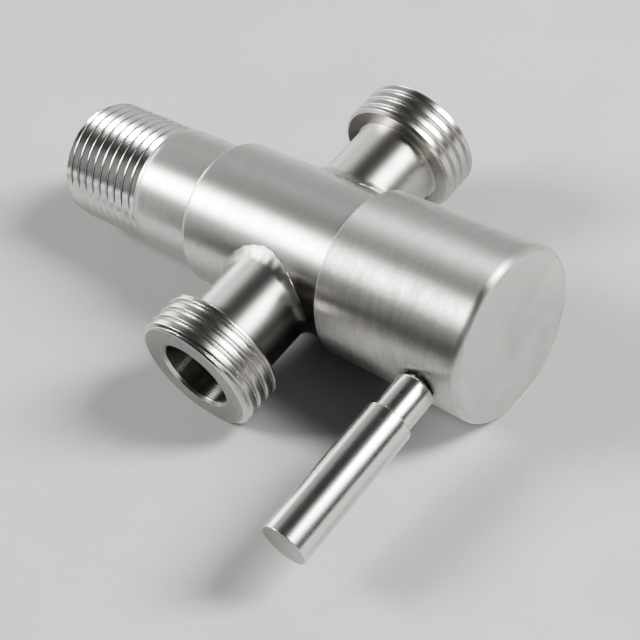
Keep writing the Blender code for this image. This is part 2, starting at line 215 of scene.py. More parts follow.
# the longest stretch between the rows of each profile
LONGEST = {"body": 1.2, "collar": 0.8, "bore": 0.6, "face": 0.9, "knob": 1.4, "lever": 1.5}
# points closer than this, in metres, become one, and corners over this many degrees stay sharp
MERGE = 1e-7
SHARP_ANGLE = 38.0

# dark and light tones of the steel
STEEL_DARK = (0.70, 0.687, 0.662)
STEEL_LIGHT = (0.80, 0.787, 0.762)
NECK_DARK = (0.585, 0.574, 0.553)
BODY_TONES = (STEEL_DARK, STEEL_LIGHT)
NECK_TONES = (NECK_DARK, (0.68, 0.668, 0.645))
CUT_TONES = (NECK_DARK, STEEL_DARK)
KNOB_TONES = ((0.62, 0.609, 0.587), STEEL_LIGHT)
FACE_TONES = ((0.72, 0.708, 0.678), (0.86, 0.846, 0.812))
END_TONES = ((0.50, 0.49, 0.475), (0.60, 0.59, 0.57))
# painted shade: the inside of the bores gets a much darker tone than the steel outside
BORE_SHADE_TONES = ((0.34, 0.335, 0.32), (0.50, 0.49, 0.47))
ROD_TONES = ((0.70, 0.69, 0.67), (0.84, 0.83, 0.81))
# turned finishes: noise scales of the grain, the axis that it runs round, tones, roughness,
# anisotropy and relief
STEELS = {
    "body_steel": ((3600.0, 420.0, 420.0), "X", BODY_TONES, (0.32, 0.39), 0.6, 0.08),
    "thread_steel": ((5200.0, 160.0, 160.0), "X", BODY_TONES, (0.17, 0.25), 0.3, 0.14),
    "outlet_near_steel": ((160.0, 3800.0, 160.0), "Y", NECK_TONES, (0.39, 0.45), 0.76, 0.08),
    "outlet_far_steel": ((160.0, 3800.0, 160.0), "Y", NECK_TONES, (0.39, 0.45), 0.76, 0.08),
    "cut_steel": ((160.0, 5200.0, 160.0), "Y", CUT_TONES, (0.24, 0.32), 0.3, 0.10),
    "bore_shaded_steel": ((160.0, 5200.0, 160.0), "Y", BORE_SHADE_TONES, (0.28, 0.36), 0.9, 0.3),
    "knob_steel": ((3600.0, 560.0, 560.0), "X", KNOB_TONES, (0.38, 0.51), 0.88, 1.0),
    "rod_steel": ((6000.0, 110.0, 6000.0), "Y", ROD_TONES, (0.24, 0.33), 0.4, 0.09),
}
# flat finishes: tones, roughness and relief
FACE_STEELS = {
    "cap_face_steel": (FACE_TONES, (0.33, 0.45), 0.35),
    "end_steel": (END_TONES, (0.30, 0.40), 0.2),
}
# the clouds' share in the wear of turned steel, and in the cap's
CLOUD_SHARE = 0.25
KNOB_CLOUD_SHARE = 0.3
# painted shade in the gap beside the cap: its tone, and for each piece how strong it is, from
# where to where it deepens along X, and from which height to which
GAP_SHADE_TONE = (0.07, 0.068, 0.065)
BODY_GAP_SHADE = (0.85, (0.053, 0.056), (0.0095, 0.006))
NEAR_GAP_SHADE = (0.66, (0.0544, 0.0556), (0.0048, 0.003))

# noise scales, per metre, and turns of the marks in steel
COARSE_SHARE = 0.22
CLOUD_SCALE = 95.0
SCRATCH_SCALE = (260.0, 2400.0, 700.0)
SCRATCH_TURN = (0.5, 0.35, 0.6)
FACE_LINES = ((300.0, 260.0, 5200.0), (0.75, 0.0, 0.0))
FACE_CROSS = ((300.0, 200.0, 3400.0), (-0.5, 0.0, 0.0))
FACE_NICKS = ((300.0, 420.0, 5600.0), (0.95, 0.0, 0.0))
FACE_CLOUD_SCALE = 120.0
NOISE_ROUGHNESS = 0.6
# how much each pattern counts in the tone, the roughness and the relief
BRUSHING_WEIGHTS = (0.6, 0.4)
FACE_WEIGHTS = (0.35, 0.65)
SCRATCH_ROUGHNESS = 0.05
SCRATCH_HEIGHT = 0.25
NICK_WEAR = 0.22
CROSS_HEIGHT = 0.4
# ranges of the noise that are stretched over a finish
WEAR_TONE = (0.36, 0.62)
WEAR_ROUGHNESS = (0.36, 0.64)
FACE_TONE = (0.38, 0.62)
SCRATCH_RANGE = (0.62, 0.75)
NICK_RANGE = (0.68, 0.76)
SPECKLE_RANGE = (0.35, 0.65)
FLOOR_RANGE = (0.3, 0.7)
# full depth of the relief, in metres
RELIEF_DEPTH = 0.00003
FACE_RELIEF_DEPTH = 0.00002
# a quarter turn lays the anisotropic stretch across the grain
GRAIN_TURN = 0.25

# finishes inside the valve: dark and light tone, metallic, roughness, noise scales, relief, and
# the nodes that have the finish
INNER_FINISHES = {
    "machined_brass": (
        (0.60, 0.43, 0.18), (0.76, 0.58, 0.28), 1.0, (0.24, 0.36), (5000, 300, 300), 0.15,
        ("spindle", "disc_cage", "headpiece"),
    ),
    "black_rubber": (
        (0.018, 0.018, 0.018), (0.04, 0.04, 0.04), 0.0, (0.55, 0.7), (2500, 2500, 2500), 0.25,
        ("seat_seal", "headpiece_oring", "spindle_oring_lower", "spindle_oring_upper"),
    ),
    "white_ceramic": (
        (0.78, 0.77, 0.74), (0.86, 0.85, 0.83), 0.0, (0.15, 0.22), (1500, 1500, 1500), 0.03,
        ("fixed_disc",),
    ),
    "grey_ceramic": (
        (0.20, 0.20, 0.21), (0.28, 0.28, 0.29), 0.0, (0.15, 0.22), (1500, 1500, 1500), 0.03,
        ("moving_disc",),
    ),
    "white_plastic": (
        (0.72, 0.71, 0.68), (0.80, 0.79, 0.77), 0.0, (0.38, 0.5), (1800, 1800, 1800), 0.1,
        ("disc_driver", "seat_ring", "slip_washer", "spline_insert"),
    ),
    "spring_steel": (
        (0.45, 0.44, 0.43), (0.60, 0.59, 0.57), 1.0, (0.25, 0.36), (4000, 400, 400), 0.15,
        ("lever_stud", "retaining_clip"),
    ),
}

# floor: half its width in metres, its tones and the scale of its clouds, then the clearance
# under the valve in millimetres and the number of passes that settle its slopes
FLOOR_HALF = 1.0
FLOOR_TONES = ((0.70, 0.70, 0.70), (0.76, 0.76, 0.76))
FLOOR_CLOUD_SCALE = 38.0
FLOOR_GAP = 0.02
FLOOR_PASSES = 6
# where the left outlet's collar rests, from the main axis
OUTLET_REST = OUTLET_END - 0.5
# the card: its right and left end, its heights, where it turns grey, and its tones
CARD_CORNERS = ((0.070, -0.104), (-0.060, -0.040))
CARD_HEIGHTS = (-0.012, 0.020)
CARD_TURNS_GREY = (-0.008, -0.028)
CARD_TONES = ((0.02, 0.02, 0.02), (0.72, 0.72, 0.72))

# lights: azimuth and elevation in degrees, distance, size, radiance, colour, whether the light
# falls on surfaces and whether it is seen in reflections
LIGHT_AIM = (0.05, -0.005, 0.0)
LIGHTS = {
    "key_right": (38.0, 36.0, 1.1, (0.26, 0.52), 26.0, (1.0, 1.0, 0.99), True, True),
    "left_front": (-149.5, 40.5, 1.4, (0.53, 0.47), 14.4, (1.0, 0.995, 0.975), True, True),
    "left_low": (175.0, 13.0, 0.8, (0.40, 0.48), 2.4, (1.0, 1.0, 0.99), False, True),
    "floor_fill": (10.0, 70.0, 1.0, (1.6, 1.6), 0.2, (1.0, 1.0, 1.0), True, False),
}
# patches of light in the room: azimuth and elevation, the angles from there at which the patch
# starts and stops falling off, all in degrees, and its strength
PATCHES = (
    (138.0, 2.0, 5.0, 50.0, 0.37),
    (143.0, 42.0, 3.0, 19.0, 0.24),
    (-152.0, 20.0, 5.0, 32.0, 0.55),
    (75.0, 13.0, 5.0, 30.0, 0.5),
    (-33.0, 27.0, 3.0, 26.0, 0.27),
    (-50.0, 3.0, 1.5, 8.0, 1.3),
)
# the light of the rest of the room, and of the plain backdrop that only the camera sees
ROOM_STRENGTH = 0.05
BACKDROP_STRENGTH = 0.6

# camera, fitted to the photograph's outlines
CAMERA_RIGHT = (0.750822, 0.617200, -0.235225)
CAMERA_UP = (-0.358623, 0.679998, 0.639526)
CAMERA_AT = (0.175599, -0.094371, 0.153939)
CAMERA_SENSOR = 36.0
CAMERA_LENS = 78.30
CAMERA_CLIP = 0.005


def smoothstep(value, low, high):
    """0 below low, 1 above high, smooth between."""
    t = np.clip((value - low) / (high - low), 0.0, 1.0)
    return t * t * (3.0 - 2.0 * t)


def angles(count, whole=False):
    """Angles of a ring's points. In a whole turn the last one lies on the first."""
    return np.linspace(0.0, FULL_TURN, count, endpoint=whole)


def arc(centre, radius, start, end, count):
    """(axial, radius) points of an arc in a profile, angles in degrees from the axial direction."""
    turns = np.radians(np.linspace(start, end, count))
    return [(centre[0] + radius * math.cos(a), centre[1] + radius * math.sin(a)) for a in turns]


def spread(points, longest):
    """Profile points with extra ones beside each bend and in every stretch over the longest."""
    made = [points[0]]
    for a, b in zip(points[:-1], points[1:]):
        length = math.hypot(b[0] - a[0], b[1] - a[1])
        count = max(1, int(math.ceil(length / longest)))
        shares = [i / count for i in range(1, count + 1)]
        if length > GUARDED:
            shares += [GUARD / length, 1.0 - GUARD / length]
        for share in sorted(shares):
            made.append((a[0] + (b[0] - a[0]) * share, a[1] + (b[1] - a[1]) * share))
    return made


def ring_row(axial, radius):
    """One row of (axial, radius), either of them one number or one for each angle."""
    return np.stack(np.broadcast_arrays(axial, radius), axis=1)


def rings_from_profile(points, segments):
    """A turned profile as rows of (axial, radius) for every angle."""
    return np.repeat(np.array(points, dtype=float)[:, None, :], segments, axis=1)


def thread_radius(axial, theta, first, groove):
    """Radius of a right-handed male thread at an axial place and an angle."""
    land, crest, root, depth = groove
    phase = np.mod((axial - first) / THREAD_PITCH - theta / FULL_TURN, 1.0)
    away = np.minimum(phase, 1.0 - phase) - land
    span = 0.5 - land
    on_crest = np.clip(away, 0.0, crest) ** 2 / (2.0 * crest)
    on_flank = np.clip(away - crest, 0.0, span - crest - root)
    in_root = np.clip(away - span + root, 0.0, root)
    fall = on_crest + on_flank + in_root - in_root ** 2 / (2.0 * root)
    return THREAD_R - depth * fall / (span - 0.5 * (crest + root))


def thread_phases(groove):
    """Places within one pitch that follow the bends of the thread's profile."""
    land, crest, root, _ = groove
    flank = np.linspace(land + crest, 0.5 - root, FLANK_POINTS)
    half = [0.0, 0.5 * land, land, land + 0.5 * crest, *flank, 0.5 - 0.5 * root, 0.5]
    both = half + [1.0 - share for share in half]
    return sorted({round(share % 1.0, 6) for share in both})


def thread_helix(start, end, first, groove, segments):
    """Rows that follow a right-handed thread between two axial places, ends trimmed square."""
    low, high = min(start, end), max(start, end)
    first_turn = int((low - first) / THREAD_PITCH) - SPARE_TURNS
    last_turn = int((high - first) / THREAD_PITCH) + SPARE_TURNS
    phases = thread_phases(groove)
    begins = np.array([
        first + (turn + share) * THREAD_PITCH
        for turn in range(first_turn, last_turn) for share in phases
    ])
    theta = angles(segments + 1, whole=True)[None, :]
    axial = begins[:, None] + theta / FULL_TURN * THREAD_PITCH
    axial = np.where(axial < low + TRIM, low, np.where(axial > high - TRIM, high, axial))
    return np.stack([axial, thread_radius(axial, theta, first, groove)], axis=2)


def thread_rows(start, end, first, groove, segments, fade_places, chamfer):
    """Square rows of a thread near its ends, fading out at its inner end."""
    fade_from, fade_to = fade_places
    count = int(round(abs(end - start) / THREAD_STEP)) + 1
    axial = np.linspace(start, end, count)[:, None]
    radius = thread_radius(axial, angles(segments)[None, :], first, groove)
    fade = smoothstep(axial, min(fade_from, fade_to), max(fade_from, fade_to))
    if fade_to < fade_from:
        fade = 1.0 - fade
    radius = radius + (THREAD_R - radius) * fade
    radius = np.minimum(radius, chamfer(axial))
    return np.stack(np.broadcast_arrays(axial, radius), axis=2)


def place(rows, axis, x, whole=False):
    """World points of rows of rings about the main axis or about an outlet's axis."""
    theta = angles(rows.shape[1], whole)[None, :]
    axial = rows[:, :, 0]
    across = rows[:, :, 1] * np.cos(theta)
    up = rows[:, :, 1] * np.sin(theta)
    if axis == "X":
        points = np.stack([axial, across, up], axis=2)
    else:
        side = -1.0 if axis == "-Y" else 1.0
        points = np.stack([x - side * across, side * axial, up], axis=2)
    return points * MM


def add_object(name, data):
    """A new object in the scene."""
    item = bpy.data.objects.new(name, data)
    bpy.context.scene.collection.objects.link(item)
    return item


def ring_mesh(name, rows, axis="X", x=0.0, helix=None):
    """A mesh from rows of rings that ends in two poles, or whose ends a thread joins."""
    points = place(rows, axis, x)
    count_rows, count = points.shape[:2]
    verts = [tuple(p) for p in points.reshape(-1, 3)]
    faces = []
    for i in range(count_rows - 1):
        here = i * count
        there = (i + 1) * count
        for j in range(count):
            k = (j + 1) % count
            faces.append((here + j, here + k, there + k, there + j))
    if helix is not None:
        points = place(helix, axis, x, whole=True)
        first, across = len(verts), points.shape[1]
        verts += [tuple(p) for p in points.reshape(-1, 3)]
        for i in range(points.shape[0] - 1):
            for j in range(across - 1):
                here = first + i * across + j
                faces.append((here, here + 1, here + across + 1, here + across))
    else:
        for row in (0, count_rows - 1):
            verts.append(tuple(points[row].mean(axis=0)))
            pole = len(verts) - 1
            for j in range(count):
                faces.append((row * count + j, row * count + (j + 1) % count, pole))
    mesh = bpy.data.meshes.new(name)
    mesh.from_pydata(verts, [], faces)
    shape = bmesh.new()
    shape.from_mesh(mesh)
    bmesh.ops.remove_doubles(shape, verts=shape.verts, dist=MERGE)
    bmesh.ops.dissolve_degenerate(shape, edges=shape.edges, dist=MERGE)
    bmesh.ops.recalc_face_normals(shape, faces=shape.faces)
    shape.to_mesh(mesh)
    shape.free()
    mesh.shade_smooth()
    return add_object(name, mesh)


def cylinder(name, low, high, radius, axis, x):
    """A closed cylinder for cutting."""
    rows = rings_from_profile([(low, radius), (high, radius)], CUT_ROUND)
    return ring_mesh(name, rows, axis, x)


def cut(item, cutter):
    """Cut with another mesh and apply it."""
    modifier = item.modifiers.new("Cut", "BOOLEAN")
    modifier.operation = "DIFFERENCE"
    modifier.solver = "EXACT"
    modifier.object = cutter
    bpy.context.view_layer.update()
    graph = bpy.context.evaluated_depsgraph_get()
    mesh = bpy.data.meshes.new_from_object(item.evaluated_get(graph))
    item.modifiers.clear()
    item.data = mesh
    bpy.data.objects.remove(cutter, do_unlink=True)


def sharpen(item):
    """Keep sharp corners sharp on a smooth-shaded piece."""
    item.data.set_sharp_from_angle(angle=math.radians(SHARP_ANGLE))


def inlet_chamfer(axial):
    """Limit of the radius near the inlet's end face."""
    slope = (THREAD_R - INLET_FACE_R) / INLET_CHAMFER_END
    return INLET_FACE_R + slope * np.maximum(axial, 0.0)


def outlet_chamfer(axial):
    """Limit of the radius near an outlet's end face and at the collar's back."""
    front = OUTLET_FACE_R + (OUTLET_END - axial) * OUTLET_CHAMFER_SLOPE
    start, radius, slope = COLLAR_CHAMFER
    back = radius + np.maximum(axial - start, 0.0) * slope
    return np.minimum(front, back)


def build_body():
    """Turned body with a helical inlet thread and two side holes."""
    fade = (THREAD_END_X - THREAD_FADE, THREAD_END_X)
    front_x = INLET_CHAMFER_END + HELIX_MARGIN
    back_x = THREAD_END_X - THREAD_FADE - HELIX_MARGIN
    thread = (INLET_FIRST, INLET_GROOVE, ROUND)
    front = thread_rows(THREAD_START_X, front_x, *thread, fade, inlet_chamfer)
    back = thread_rows(back_x, THREAD_END_X, *thread, fade, inlet_chamfer)
    foot, top = SHOULDER_FOOT, SHOULDER_ROUND
    outer = NECK_RISE + [(SHOULDER_X - foot, NECK_R)]
    outer += arc((SHOULDER_X - foot, NECK_R + foot), foot, -90.0, -15.0, 6)
    outer += arc((SHOULDER_X + SHOULDER_RUN, BODY_R - top), top, 180.0, 90.0, 14)
    outer += [
        (BODY_STEP_X - BODY_STEP_CHAMFER[0], BODY_R),
        (BODY_STEP_X, BODY_R - BODY_STEP_CHAMFER[1]),
        (BODY_STEP_X, BODY_NOSE_R),
        (BODY_NOSE_X - BODY_NOSE_CHAMFER, BODY_NOSE_R),
        (BODY_NOSE_X, BODY_NOSE_R - BODY_NOSE_CHAMFER),
    ]
    inner = [
        (BODY_NOSE_X, CHAMBER_R),
        (CHAMBER_X, CHAMBER_R),
        (CHAMBER_X, SEAT_HOLE_R),
        (SEAT_X, SEAT_HOLE_R),
        (SEAT_X, INLET_BORE_R),
        (INLET_BORE_CHAMFER, INLET_BORE_R),
        (0.0, INLET_BORE_R + INLET_BORE_CHAMFER),
    ]
    profile = spread(outer + inner + INLET_FACE_EDGE, LONGEST["body"])
    rows = np.concatenate([back, rings_from_profile(profile, ROUND), front])
    helix = thread_helix(front_x, back_x, *thread)
    body = ring_mesh("valve_body_steel", rows, "X", 0.0, helix)
    ports = cylinder("cut_ports", -PORT_CUT_REACH, PORT_CUT_REACH, PORT_CUT_R, "-Y", OUTLET_X)
    cut(body, ports)
    sharpen(body)
    return body


def surface_height(z):
    """Distance of the body's surface from the main plane at a height above it."""
    return np.sqrt(np.maximum(BODY_R ** 2 - z ** 2, 0.0))


def foot_rows(count):
    """Rows of an outlet's neck, its uneven fillet on the body, and its saddle in the wall."""
    theta = angles(count)
    sine = np.sin(theta)
    fillet = np.full(count, FILLET)
    for waves, start, height in FILLET_WAVES:
        fillet = fillet + height * np.sin(waves * theta + start)
    top = COLLAR_BACK - COLLAR_FILLET
    foot = surface_height(OUTLET_NECK_R * sine) + FILLET_LIP + fillet
    rows = []
    for share in np.linspace(0.0, 1.0, NECK_ROWS)[1:]:
        rows.append(ring_row(top + (foot - top) * share, OUTLET_NECK_R))
    for turn in np.radians(np.linspace(0.0, 90.0, FILLET_ROWS))[1:]:
        radius = OUTLET_NECK_R + fillet * (1.0 - math.cos(turn))
        surface = surface_height(radius * sine)
        rows.append(ring_row(surface + fillet * (1.0 - math.sin(turn)) + FILLET_LIP, radius))
    for past, below in FOOT_HIDDEN:
        radius = OUTLET_NECK_R + fillet + past
        rows.append(ring_row(surface_height(radius * sine) - below, radius))
    for radius in SADDLE_RINGS:
        rows.append(ring_row(np.sqrt(SADDLE_R ** 2 - (radius * sine) ** 2), radius))
    return np.stack(rows)


def build_outlet(name, axis):
    """Outlet nipple with a helical thread, a stepped bore and a blended foot on the body."""
    count = SMALL_ROUND
    thread = (OUTLET_FIRST, OUTLET_GROOVE, count)
    front = thread_rows(OUTLET_ROWS[0], OUTLET_HELIX[0], *thread, OUTLET_FADE, outlet_chamfer)
    inner = thread_rows(OUTLET_HELIX[1], OUTLET_ROWS[1], *thread, OUTLET_FADE, outlet_chamfer)
    corner = (COLLAR_BACK - COLLAR_FILLET, OUTLET_NECK_R + COLLAR_FILLET)
    back = COLLAR_WALL + arc(corner, COLLAR_FILLET, 0.0, -90.0, 7)
    run, rise = BORE_CORNER
    bore = [(BORE_START, OUTLET_BORE_R), (MOUTH_DEPTH - run, OUTLET_BORE_R)]
    bore = spread(bore, LONGEST["bore"])
    bore += [(MOUTH_DEPTH, OUTLET_BORE_R + rise), (MOUTH_DEPTH, MOUTH_R)]
    places = np.arange(*MARKS, MARK_STEP)
    mouth = MOUTH_R + MARK_HEIGHT * np.sin(FULL_TURN * places / MARK_PITCH)
    rows = np.concatenate([
        inner,
        rings_from_profile(spread(back, LONGEST["collar"]), count),
        foot_rows(count),
        rings_from_profile(bore, count),
        rings_from_profile(list(zip(places, mouth)), count),
        rings_from_profile(spread(OUTLET_FACE, LONGEST["face"]), count),
        front,
    ])
    helix = thread_helix(*OUTLET_HELIX, *thread)
    item = ring_mesh(name, rows, axis, OUTLET_X, helix)
    sharpen(item)
    return item


def build_knob():
    """Cap with softened edges and the hole for the lever's stud."""
    inner = KNOB_FRONT_R - KNOB_EDGE
    back, chamfer = KNOB_BACK_EDGE, KNOB_SKIRT_CHAMFER
    front_ring, hub_ring = KNOB_POLE_RINGS
    profile = [(KNOB_FRONT_X, front_ring), (KNOB_FRONT_X, inner - KNOB_FACE_INSET)]
    profile += arc((KNOB_FRONT_X - KNOB_EDGE, inner), KNOB_EDGE, 0.0, 90.0, 16)
    profile += [(KNOB_BACK_X + KNOB_SIDE_START, KNOB_BACK_R)]
    profile += arc((KNOB_BACK_X + back, KNOB_BACK_R - back), back, 90.0, 180.0, 7)
    profile += [(KNOB_BACK_X, KNOB_SKIRT_R + chamfer), (KNOB_BACK_X + chamfer, KNOB_SKIRT_R)]
    profile += [(KNOB_WEB_X, KNOB_SKIRT_R), (KNOB_WEB_X, KNOB_HUB_R)]
    profile += [(KNOB_HUB_END_X, KNOB_HUB_R), (KNOB_HUB_END_X, hub_ring)]
    rows = rings_from_profile(spread(profile, LONGEST["knob"]), ROUND)
    knob = ring_mesh("handle_knob_steel", rows, "X")
    cut(knob, cylinder("cut_stud", *STUD_CUT, STUD_HOLE_R, "-Y", LEVER_X))
    sharpen(knob)
    return knob


def build_lever():
    """Stepped lever with softened shoulders and a stud hole in its foot."""
    tip, step, foot = LEVER_TIP_EDGE, LEVER_STEP_EDGE, LEVER_FOOT_EDGE
    profile = [(LEVER_TIP, LEVER_POLE_RING), (LEVER_TIP, GRIP_R - LEVER_TIP_INSET)]
    profile += arc((LEVER_TIP - tip, GRIP_R - tip), tip, 0.0, 90.0, 6)
    profile += arc((LEVER_STEP + LEVER_STEP_AT, GRIP_R - step), step, 90.0, 165.0, 9)
    profile += LEVER_STEP_FOOT + [(LEVER_FOOT + LEVER_FOOT_ROW, SHANK_R)]
    profile += arc((LEVER_FOOT + foot, SHANK_R - foot), foot, 90.0, 170.0, 9)
    profile += [(LEVER_FOOT, STUD_HOLE_R), (LEVER_HOLE_END, STUD_HOLE_R)]
    profile += [(LEVER_HOLE_END, LEVER_POLE_RING)]
    rows = rings_from_profile(spread(profile, LONGEST["lever"]), SMALL_ROUND)
    lever = ring_mesh("lever_rod_steel", rows, "-Y", LEVER_X)
    sharpen(lever)
    return lever


class Nodes:
    """Short calls for building a material's nodes."""

    def __init__(self, name):
        self.material = bpy.data.materials.new(name)
        self.material.use_nodes = True
        self.tree = self.material.node_tree
        self.shader = self.tree.nodes["Principled BSDF"]

    def add(self, kind, **settings):
        """A node with some of its properties set."""
        node = self.tree.nodes.new(kind)
        for key, value in settings.items():
            setattr(node, key, value)
        return node

    def link(self, output, target):
        """Join two sockets."""
        self.tree.links.new(output, target)

    def set(self, **values):
        """Set shader sockets that are the same all over, with _ for a space in their names."""
        for key, value in values.items():
            self.shader.inputs[key.replace("_", " ")].default_value = value

    def drive(self, output, socket):
        """Join a value or colour to one of the shader's sockets."""
        self.link(output, self.shader.inputs[socket])

    def place_at(self):
        """Object coordinates."""
        return self.add("ShaderNodeTexCoord").outputs["Object"]

    def split(self):
        """Object coordinates as separate X, Y and Z."""
        node = self.add("ShaderNodeSeparateXYZ")
        self.link(self.place_at(), node.inputs["Vector"])
        return node.outputs

    def streaks(self, scale, turn=(0.0, 0.0, 0.0), detail=5.0, distortion=0.0):
        """Noise in object coordinates, turned and stretched by an unequal scale."""
        mapping = self.add("ShaderNodeMapping")
        mapping.inputs["Rotation"].default_value = turn
        mapping.inputs["Scale"].default_value = scale
        self.link(self.place_at(), mapping.inputs["Vector"])
        noise = self.add("ShaderNodeTexNoise")
        noise.inputs["Scale"].default_value = 1.0
        noise.inputs["Detail"].default_value = detail
        noise.inputs["Roughness"].default_value = NOISE_ROUGHNESS
        noise.inputs["Distortion"].default_value = distortion
        self.link(mapping.outputs["Vector"], noise.inputs["Vector"])
        return noise.outputs["Fac"]

    def clouds(self, scale, detail, distortion):
        """Noise in object coordinates, the same in all directions."""
        return self.streaks((scale, scale, scale), detail=detail, distortion=distortion)

    def remap(self, value, source, target=(0.0, 1.0)):
        """Stretch a value from one range to another."""
        node = self.add("ShaderNodeMapRange")
        node.inputs["From Min"].default_value = source[0]
        node.inputs["From Max"].default_value = source[1]
        node.inputs["To Min"].default_value = target[0]
        node.inputs["To Max"].default_value = target[1]
        self.link(value, node.inputs["Value"])
        return node.outputs["Result"]

    def maths(self, operation, first, second):
        """Two values or a value and a number."""
        node = self.add("ShaderNodeMath", operation=operation)
        for socket, value in zip(node.inputs, (first, second)):
            if isinstance(value, (int, float)):
                socket.default_value = value
            else:
                self.link(value, socket)
        return node.outputs[0]

    def scaled(self, value, factor):
        """A value times a number."""
        return self.maths("MULTIPLY", value, factor)

    def weigh(self, first, second, first_weight, second_weight):
        """Sum of two values, each times its weight."""
        first, second = self.scaled(first, first_weight), self.scaled(second, second_weight)
        return self.maths("ADD", first, second)

    def mix(self, share, dark, light):
        """Mix two colours by a value."""
        node = self.add("ShaderNodeMix", data_type="RGBA")
        self.link(share, node.inputs["Factor"])
        node.inputs["A"].default_value = (*dark, 1.0)
        node.inputs["B"].default_value = (*light, 1.0)
        return node.outputs["Result"]

    def paint_gap_shade(self, color, share, along, heights):
        """Paint shade into a colour in the gap beside the cap, between places along X and heights.
        """
        split = self.split()
        across = self.remap(split["X"], along, (0.0, share))
        height = self.maths("ABSOLUTE", split["Z"], 0.0)
        node = self.add("ShaderNodeMix", data_type="RGBA")
        depth = self.maths("MULTIPLY", across, self.remap(height, heights))
        self.link(depth, node.inputs["Factor"])
        self.link(color, node.inputs["A"])
        node.inputs["B"].default_value = (*GAP_SHADE_TONE, 1.0)
        return node.outputs["Result"]

    def bump(self, height, strength, distance):
        """Surface relief on the shader."""
        node = self.add("ShaderNodeBump")
        node.inputs["Strength"].default_value = strength
        node.inputs["Distance"].default_value = distance
        self.link(height, node.inputs["Height"])
        self.drive(node.outputs["Normal"], "Normal")

    def brush(self, axis, anisotropic):
        """Stretch reflections across a grain that runs round an axis."""
        self.set(Anisotropic=anisotropic, Anisotropic_Rotation=GRAIN_TURN)
        node = self.add("ShaderNodeTangent", direction_type="RADIAL", axis=axis)
        self.drive(node.outputs["Tangent"], "Tangent")


def steel(name, cloud=CLOUD_SHARE, gap=None):
    """Turned stainless steel with grain round its axis, cloudy wear and fine scratches."""
    grain, axis, tones, rough, anisotropic, relief = STEELS[name]
    made = Nodes(name)
    lines = made.streaks(grain)
    coarse = made.streaks(tuple(scale * COARSE_SHARE for scale in grain), detail=3.0)
    clouds = made.clouds(CLOUD_SCALE, detail=4.0, distortion=0.6)
    scratch = made.streaks(SCRATCH_SCALE, SCRATCH_TURN, detail=3.0)
    brushing = made.weigh(lines, coarse, *BRUSHING_WEIGHTS)
    wear = made.weigh(brushing, clouds, 1.0 - cloud, cloud)
    tone = made.mix(made.remap(wear, WEAR_TONE), *tones)
    # painted shade: the colour darkens in the gap beside the cap
    if gap:
        tone = made.paint_gap_shade(tone, *gap)
    made.drive(tone, "Base Color")
    marks = made.scaled(made.remap(scratch, SCRATCH_RANGE), SCRATCH_ROUGHNESS)
    base = made.remap(wear, WEAR_ROUGHNESS, (rough[1], rough[0]))
    made.drive(made.maths("ADD", base, marks), "Roughness")
    made.set(Metallic=1.0)
    made.brush(axis, anisotropic)
    height = made.maths("ADD", brushing, made.scaled(scratch, SCRATCH_HEIGHT))
    made.bump(height, relief, RELIEF_DEPTH)
    return made.material


def face_steel(name):
    """Flat-brushed steel with faint crossing scratches and clouds."""
    tones, rough, relief = FACE_STEELS[name]
    made = Nodes(name)
    lines = made.streaks(*FACE_LINES)
    cross = made.streaks(*FACE_CROSS, detail=3.0)
    clouds = made.clouds(FACE_CLOUD_SCALE, detail=5.0, distortion=0.8)
    nicks = made.streaks(*FACE_NICKS, detail=2.0)
    wear = made.weigh(lines, clouds, *FACE_WEIGHTS)
    wear = made.maths("ADD", wear, made.remap(nicks, NICK_RANGE, (0.0, NICK_WEAR)))
    made.drive(made.mix(made.remap(wear, FACE_TONE), *tones), "Base Color")
    made.drive(made.remap(wear, WEAR_ROUGHNESS, (rough[1], rough[0])), "Roughness")
    made.set(Metallic=1.0)
    height = made.maths("ADD", lines, made.scaled(cross, CROSS_HEIGHT))
    made.bump(height, relief, FACE_RELIEF_DEPTH)
    return made.material


def plain_grained(name, dark, light, metallic, rough, scale, relief):
    """A moulded, machined or ceramic surface with fine speckle and slight relief."""
    made = Nodes(name)
    speckle = made.streaks(scale)
    made.drive(made.mix(made.remap(speckle, SPECKLE_RANGE), dark, light), "Base Color")
    made.drive(made.remap(speckle, SPECKLE_RANGE, rough), "Roughness")
    made.set(Metallic=metallic)
    made.bump(speckle, relief, RELIEF_DEPTH)
    return made.material


def give(item, *materials):
    """Replace an object's materials."""
    item.data.materials.clear()
    for material in materials:
        item.data.materials.append(material)


def paint_faces(item, index, chosen):
    """Give the finish with an index to the faces that a test on centre and normal picks."""
    for face in item.data.polygons:
        if chosen(face.center, face.normal):
            face.material_index = index


def dress_inner(nodes):
    """Finishes of the pieces inside the valve."""
    for name, (*finish, wearers) in INNER_FINISHES.items():
        material = plain_grained(name, *finish)
        for wearer in wearers:
            give(nodes[wearer], material)


def dressed_body():
    """The body, brushed, with a brighter cut thread and painted shade beside the cap."""
    body = build_body()
    give(body, steel("body_steel", gap=BODY_GAP_SHADE), steel("thread_steel"))
    paint_faces(
        body, THREADED, lambda at, normal: at.x < THREAD_FACES_X and at.yz.length > BORE_FACES_R
    )
    return body


def dressed_outlets(end_finish):
    """Both outlets: satin necks, a cut collar, a bore with painted shade and a flat end face."""
    # painted shade on the left outlet's neck where it meets the cap
    near = steel("outlet_near_steel", gap=NEAR_GAP_SHADE)
    far = steel("outlet_far_steel")
    collar = steel("cut_steel")
    bore = steel("bore_shaded_steel")
    made = []
    for name, axis, satin in (("outlet_left_steel", "-Y", near), ("outlet_right_steel", "Y", far)):
        outlet = build_outlet(name, axis)
        give(outlet, satin, collar, bore, end_finish)
        paint_faces(outlet, COLLAR, lambda at, normal: abs(at.y) > COLLAR_FACES_Y)
        paint_faces(
            outlet, BORE, lambda at, normal: math.hypot(at.x - OUTLET_AXIS_X, at.z) < MOUTH_FACES_R
        )
        paint_faces(
            outlet, END, lambda at, normal: abs(at.y) > OUTLET_FACE_Y and abs(normal.y) > END_NORMAL
        )
        made.append(outlet)
    return made


